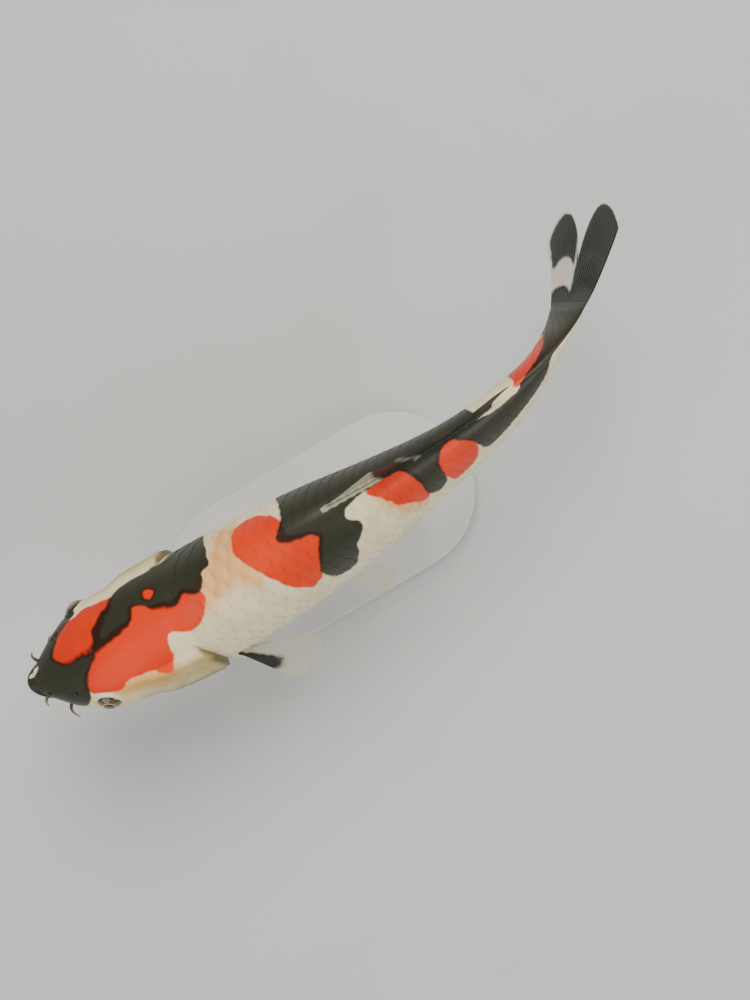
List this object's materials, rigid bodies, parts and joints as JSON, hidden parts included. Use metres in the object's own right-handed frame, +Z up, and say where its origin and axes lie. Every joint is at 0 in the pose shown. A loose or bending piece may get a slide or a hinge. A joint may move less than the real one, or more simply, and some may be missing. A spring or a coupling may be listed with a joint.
{
  "type": "koi carp model",
  "caption": "Life-size koi carp with red, white and black markings, gliding with its tail swept to one side, held over a flat base by two short rods.",
  "frame": {"origin": "centre of the underside of the stand's base", "axes": "+X along the middle of the body towards the head, +Y to the fish's left, +Z up"},
  "size_m": [0.2177, 0.0843, 0.0952],
  "materials": {
    "skin": "wet, glossy scaled skin in cream white, orange red and black",
    "fin": "thin translucent membrane on fine rays, cream to black",
    "barbel": "soft wet skin",
    "eye": "clear and glossy, dark pupil in a pale golden iris",
    "stand_base": "satin pale grey paint",
    "stand_rod": "satin steel"
  },
  "bodies": {
    "root": {"head": "skin", "gill_cover_left": "skin", "gill_cover_right": "skin", "upper_lip": "skin", "lower_lip": "skin", "trunk_front": "skin", "trunk_rear": "skin", "tail_stem": "skin", "barbel_upper_left": "barbel", "barbel_upper_right": "barbel", "barbel_lower_left": "barbel", "barbel_lower_right": "barbel", "eye_left": "eye", "eye_right": "eye", "dorsal_fin": "fin", "anal_fin": "fin", "caudal_fin": "fin", "pectoral_fin_left": "fin", "pectoral_fin_right": "fin", "pelvic_fin_left": "fin", "pelvic_fin_right": "fin", "stand_base": "stand_base", "stand_rod_front": "stand_rod", "stand_rod_rear": "stand_rod"}
  },
  "joints": []
}
